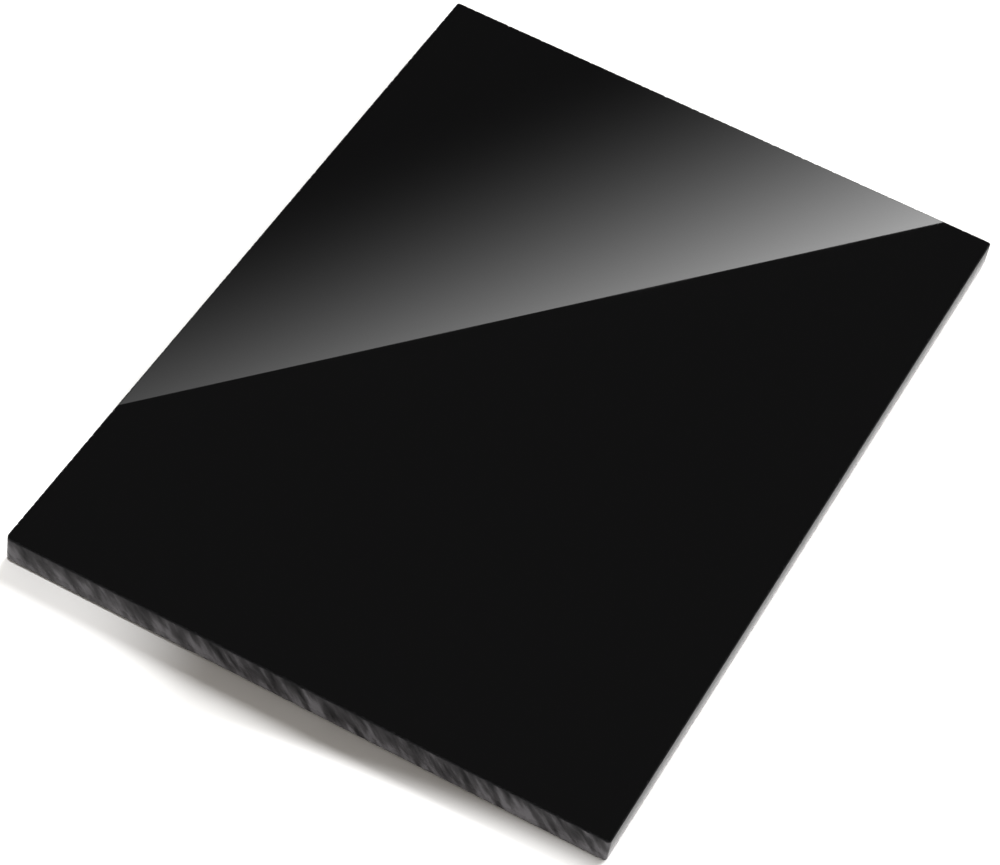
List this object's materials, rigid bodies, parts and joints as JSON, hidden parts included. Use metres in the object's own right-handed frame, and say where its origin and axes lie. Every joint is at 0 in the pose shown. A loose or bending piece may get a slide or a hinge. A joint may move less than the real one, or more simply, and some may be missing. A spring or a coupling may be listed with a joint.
{
  "type": "kick plate",
  "caption": "Black gloss acrylic kick plate, a flat sheet with sawn edges, bonded to the foot of a door by foam tape strips on its back.",
  "frame": {"origin": "middle of the footprint, in the outer plane of the release films, on which the plate lies", "axes": "+X along the plate's long side, which runs across the door; +Y up the door; +Z out of the door, normal to the gloss face"},
  "size_m": [0.297, 0.21, 0.0103],
  "materials": {
    "black_acrylic": "polished",
    "foam_tape": "matte",
    "release_film": "satin"
  },
  "bodies": {
    "root": {"panel": "black_acrylic", "tape_top": "foam_tape", "tape_bottom": "foam_tape", "tape_left": "foam_tape", "tape_inner_left": "foam_tape", "tape_inner_right": "foam_tape", "tape_right": "foam_tape", "film_top": "release_film", "film_bottom": "release_film", "film_left": "release_film", "film_inner_left": "release_film", "film_inner_right": "release_film", "film_right": "release_film"}
  },
  "joints": []
}
